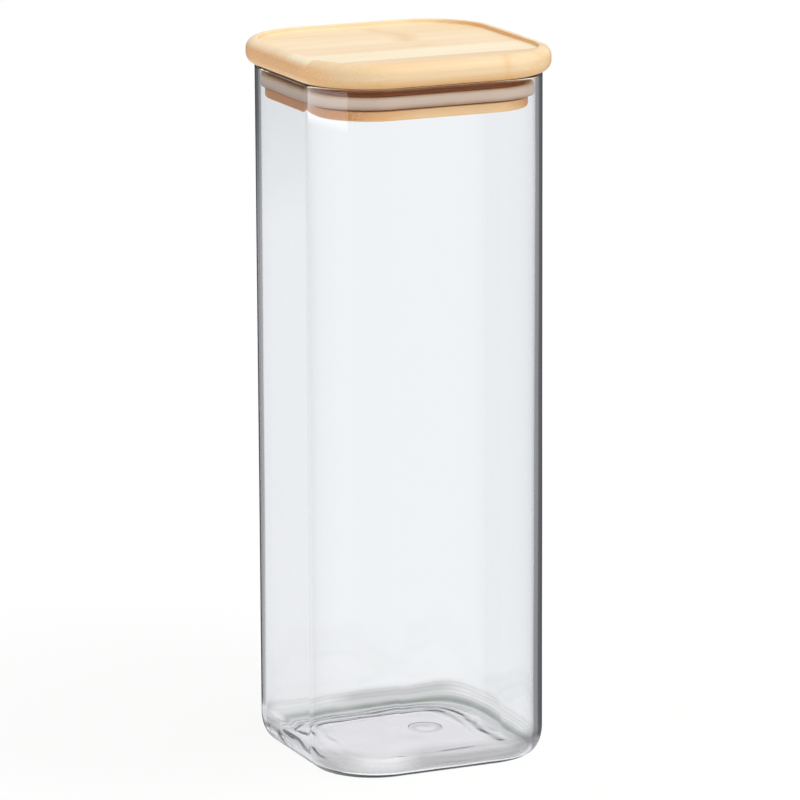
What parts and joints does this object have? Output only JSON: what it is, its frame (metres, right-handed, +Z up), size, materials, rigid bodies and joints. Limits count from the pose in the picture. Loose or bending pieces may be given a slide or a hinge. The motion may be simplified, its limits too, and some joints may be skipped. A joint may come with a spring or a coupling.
{
  "type": "storage jar",
  "caption": "Tall square clear glass storage jar with round corners and a lift-off bamboo lid, sealed by a silicone ring.",
  "frame": {"origin": "middle of the jar's foot, on the surface it stands on", "axes": "+Z up along the jar, the way the lid lifts off; +X and +Y along two of the flat sides, with the lid's grain along X"},
  "size_m": [0.107, 0.107, 0.2883],
  "materials": {
    "clear_glass": "clear, polished",
    "bamboo_board": "smooth oiled bamboo in glued strips",
    "bamboo_plug": "smooth oiled bamboo",
    "silicone": "translucent matt silicone"
  },
  "bodies": {
    "jar": {"glass_jar": "clear_glass"},
    "lid": {"lid_board": "bamboo_board", "lid_plug": "bamboo_plug", "seal_ring": "silicone"}
  },
  "joints": [
    {"name": "lid_lift", "type": "slide", "parent": "jar", "child": "lid", "axis": [0, 0, 1], "range_m": [0, 0.12]}
  ]
}
